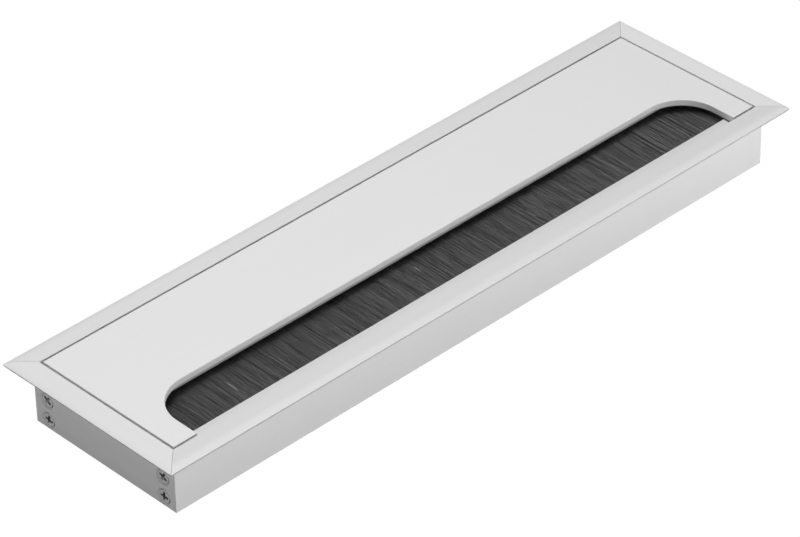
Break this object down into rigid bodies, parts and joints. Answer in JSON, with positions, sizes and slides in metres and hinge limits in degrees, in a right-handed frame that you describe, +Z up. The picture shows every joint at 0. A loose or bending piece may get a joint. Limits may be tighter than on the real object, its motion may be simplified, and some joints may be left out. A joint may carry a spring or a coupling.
{
  "type": "desk cable grommet",
  "caption": "Flush rectangular desk cable grommet: mitred rail frame with a flange, drop-in slotted lid and a strip brush across the cable slot.",
  "frame": {"origin": "centre of the frame's outline at the level of the walls' lower edges, on which the part stands", "axes": "+X along the length, +Z up through the lid, and the lid's cable slot opens on the -Y side"},
  "size_m": [0.28, 0.0792, 0.0234],
  "materials": {
    "frame_rails": "matte silver anodised",
    "lid_plate": "matte silver anodised",
    "screws": "bright zinc",
    "brush_metal": "galvanised",
    "bristles": "dark nylon fibre"
  },
  "bodies": {
    "root": {"front_rail": "frame_rails", "rear_rail": "frame_rails", "left_end_rail": "frame_rails", "right_end_rail": "frame_rails", "corner_screws": "screws", "lid": "lid_plate", "brush_channel": "brush_metal", "brush_core_wire": "brush_metal", "brush_bristles": "bristles"}
  },
  "joints": []
}
